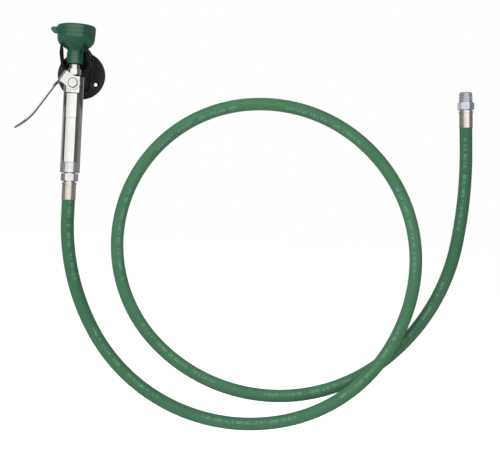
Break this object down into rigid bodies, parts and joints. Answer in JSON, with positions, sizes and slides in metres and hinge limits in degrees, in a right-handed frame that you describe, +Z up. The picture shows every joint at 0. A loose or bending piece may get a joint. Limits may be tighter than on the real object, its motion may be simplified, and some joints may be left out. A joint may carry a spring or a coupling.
{
  "type": "wall-mounted drench hose",
  "caption": "Hand-held emergency shower: bell spray head on a squeeze valve with a flexible hose, parked in a wall bracket.",
  "frame": {"origin": "centre of the wall plate's back face", "axes": "+Z up, +X to the right facing the wall, +Y into the wall"},
  "size_m": [0.6829, 0.0945, 0.5827],
  "materials": {
    "bracket_plastic": "black moulded, satin",
    "green_plastic": "dark green moulded, semi-gloss",
    "chrome_brass": "polished chrome plate on brass",
    "lever_steel": "stamped stainless steel",
    "dark_steel": "dark oxide",
    "zinc_steel": "zinc plated",
    "ferrule_brass": "pale plated brass",
    "brass": "machined",
    "spring_steel": "bright wire",
    "hose_rubber": "green, satin",
    "black_rubber": "matte",
    "foam": "open-cell foam",
    "white_plastic": "moulded"
  },
  "bodies": {
    "bracket": {"wall_bracket": "bracket_plastic"},
    "handset": {"spray_head_shell": "green_plastic", "dust_cap_hinge_pin": "dark_steel", "outlet_adapter": "chrome_brass", "adapter_o_ring": "black_rubber", "valve_body": "chrome_brass", "handle_sleeve": "chrome_brass", "inlet_cap": "chrome_brass", "valve_seat": "brass", "sleeve_o_ring": "black_rubber", "cap_o_ring": "black_rubber", "fitting_gasket": "black_rubber", "spring_retainer": "brass", "valve_spring": "spring_steel", "outlet_gasket": "black_rubber", "flow_regulator": "white_plastic", "regulator_o_ring": "black_rubber", "spray_plate_gasket": "black_rubber", "filter_pad": "foam", "spray_plate": "green_plastic", "hose": "hose_rubber", "valve_end_fitting": "chrome_brass", "valve_end_ferrule": "ferrule_brass", "inlet_end_fitting": "zinc_steel", "inlet_end_ferrule": "ferrule_brass"},
    "lever": {"lever": "lever_steel", "cam_spindle": "lever_steel", "spindle_o_rings": "black_rubber", "spindle_washers": "dark_steel", "spindle_end_cap": "lever_steel"},
    "poppet": {"valve_stem": "lever_steel", "poppet_washer": "black_rubber", "poppet": "brass", "stem_nut": "lever_steel"},
    "dust_cap": {"dust_cap": "green_plastic"}
  },
  "joints": [
    {"name": "lift_off", "type": "slide", "parent": "bracket", "child": "handset", "axis": [0, -0.7071, 0.7071], "range_m": [0, 0.12]},
    {"name": "lever_squeeze", "type": "hinge", "parent": "handset", "child": "lever", "pos_m": [0, -0.065, -0.0204], "axis": [0, -1, 0], "range_deg": [0, 38]},
    {"name": "valve_travel", "type": "slide", "parent": "handset", "child": "poppet", "axis": [0, 0, -1], "range_m": [0, 0.0017], "deforming": ["valve_spring"]},
    {"name": "dust_cap_flip", "type": "hinge", "parent": "handset", "child": "dust_cap", "pos_m": [-0.0322, -0.065, 0.0569], "axis": [0, -1, 0], "range_deg": [0, 150]}
  ],
  "couplings": [
    {"joint": "valve_travel", "follows": "lever_squeeze", "m_per_rad": 0.0025526}
  ]
}
